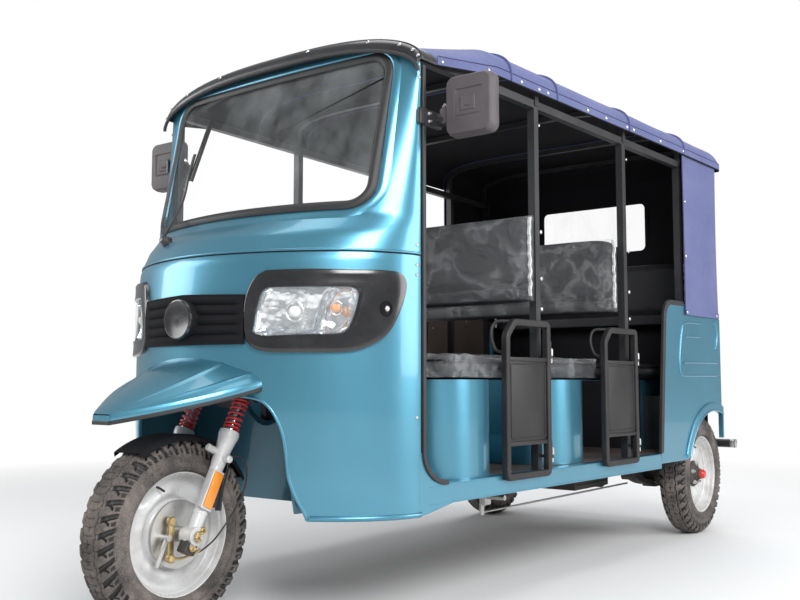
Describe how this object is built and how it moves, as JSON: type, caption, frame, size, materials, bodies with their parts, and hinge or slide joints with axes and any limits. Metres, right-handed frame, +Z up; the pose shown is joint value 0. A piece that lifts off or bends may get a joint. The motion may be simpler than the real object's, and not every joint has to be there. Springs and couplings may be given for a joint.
{
  "type": "auto rickshaw",
  "caption": "Three-wheeled passenger tricycle with a closed nose, open sides, swing gates, benches, a fabric canopy, steered front fork and free-turning wheels.",
  "frame": {"origin": "on the ground, midway along the overall length and on the centre plane", "axes": "+Z up, -Y to the front of the vehicle, +X to its left side"},
  "size_m": [1.556, 3.2274, 1.863],
  "materials": {
    "teal_paint": "metallic gloss",
    "black_paint": "semi-gloss",
    "frame_black": "satin",
    "white_paint": "gloss",
    "spring_red": "gloss",
    "zinc": "plated",
    "casting": "rough",
    "tyre": "matte",
    "rubber": "satin",
    "black_plastic": "grained",
    "gloss_black": "gloss",
    "lamp_clear": "clear",
    "window": "clear",
    "lamp_red": "translucent",
    "canvas": "woven",
    "vinyl": "grained vinyl",
    "floor_mat": "ribbed"
  },
  "bodies": {
    "body": {"chassis_frame": "frame_black", "floor_pan": "floor_mat", "side_sills": "teal_paint", "nose_shell": "teal_paint", "windscreen_glass": "window", "windscreen_seal": "rubber", "front_wheel_well": "teal_paint", "beak_fender": "teal_paint", "headlamp_bezels": "gloss_black", "headlamp_lenses": "lamp_clear", "front_grille": "black_plastic", "roof_visor": "black_paint", "mirrors": "black_plastic", "roof_frame": "frame_black", "canopy": "canvas", "rear_curtain": "canvas", "rear_window": "window", "quarter_panels": "teal_paint", "wheel_wells": "frame_black", "rear_panel": "teal_paint", "tail_lamps": "lamp_red", "rear_bumper": "frame_black", "seat_bases": "teal_paint", "seat_cushions": "vinyl", "seat_backrests": "vinyl", "engine_block": "casting", "rear_axle": "casting", "brake_linkage": "zinc"},
    "steering": {"steering_stem": "frame_black", "handlebar": "black_plastic", "fork_legs": "white_paint", "fork_springs": "spring_red", "front_axle": "zinc", "front_mudguard": "black_plastic"},
    "front_wheel": {"front_tyre": "tyre", "front_rim": "white_paint"},
    "rear_left_wheel": {"rear_left_tyre": "tyre", "rear_left_rim": "white_paint"},
    "rear_right_wheel": {"rear_right_tyre": "tyre", "rear_right_rim": "white_paint"},
    "front_left_gate": {"front_left_door": "frame_black"},
    "rear_left_gate": {"rear_left_door": "frame_black"},
    "front_right_gate": {"front_right_door": "frame_black"},
    "rear_right_gate": {"rear_right_door": "frame_black"}
  },
  "joints": [
    {"name": "steering", "type": "hinge", "parent": "body", "child": "steering", "pos_m": [0, -1.3008, 0.25277], "axis": [0, 0.4384, 0.8988], "range_deg": [-35, 35]},
    {"name": "front_wheel_spin", "type": "hinge", "parent": "steering", "child": "front_wheel", "pos_m": [0, -1.34125, 0.2725], "axis": [-1, 0, 0], "continuous": true},
    {"name": "rear_left_wheel_spin", "type": "hinge", "parent": "body", "child": "rear_left_wheel", "pos_m": [0.55, 1.31875, 0.2725], "axis": [-1, 0, 0], "continuous": true},
    {"name": "rear_right_wheel_spin", "type": "hinge", "parent": "body", "child": "rear_right_wheel", "pos_m": [-0.55, 1.31875, 0.2725], "axis": [-1, 0, 0], "continuous": true},
    {"name": "front_left_gate_swing", "type": "hinge", "parent": "body", "child": "front_left_gate", "pos_m": [0.61463, -0.17853, 0.6], "axis": [0, 0, 1], "range_deg": [0, 90]},
    {"name": "rear_left_gate_swing", "type": "hinge", "parent": "body", "child": "rear_left_gate", "pos_m": [0.64321, 0.50086, 0.6], "axis": [0, 0, 1], "range_deg": [0, 90]},
    {"name": "front_right_gate_swing", "type": "hinge", "parent": "body", "child": "front_right_gate", "pos_m": [-0.61463, -0.17853, 0.6], "axis": [0, 0, -1], "range_deg": [0, 90]},
    {"name": "rear_right_gate_swing", "type": "hinge", "parent": "body", "child": "rear_right_gate", "pos_m": [-0.64321, 0.50086, 0.6], "axis": [0, 0, -1], "range_deg": [0, 90]}
  ]
}
